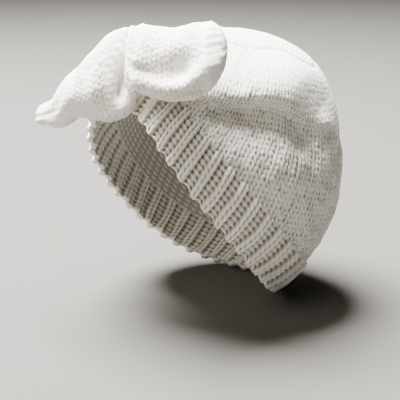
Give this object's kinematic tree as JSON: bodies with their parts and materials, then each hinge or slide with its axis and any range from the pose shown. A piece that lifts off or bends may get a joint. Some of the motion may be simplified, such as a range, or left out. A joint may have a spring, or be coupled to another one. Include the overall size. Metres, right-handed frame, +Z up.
{
  "type": "baby turban hat",
  "caption": "Hand-knitted baby turban hat with a ribbed brim, a slack crown and two knitted ends knotted above the forehead.",
  "frame": {"origin": "centre of the head opening, halfway between its highest point at the forehead and its lowest at the nape", "axes": "+Z up as the hat is worn, -Y to the wearer's front, +X to the wearer's left"},
  "size_m": [0.1187, 0.1433, 0.143],
  "materials": {
    "rib_wool": "warm off-white wool, 1x1 rib, matt",
    "crown_wool": "warm off-white wool, stockinette, matt",
    "bow_wool": "warm off-white wool, stockinette, matt"
  },
  "bodies": {
    "root": {"brim_band": "rib_wool", "crown": "crown_wool", "knot": "bow_wool", "bow_end_right": "bow_wool", "bow_end_left": "bow_wool"}
  },
  "joints": []
}
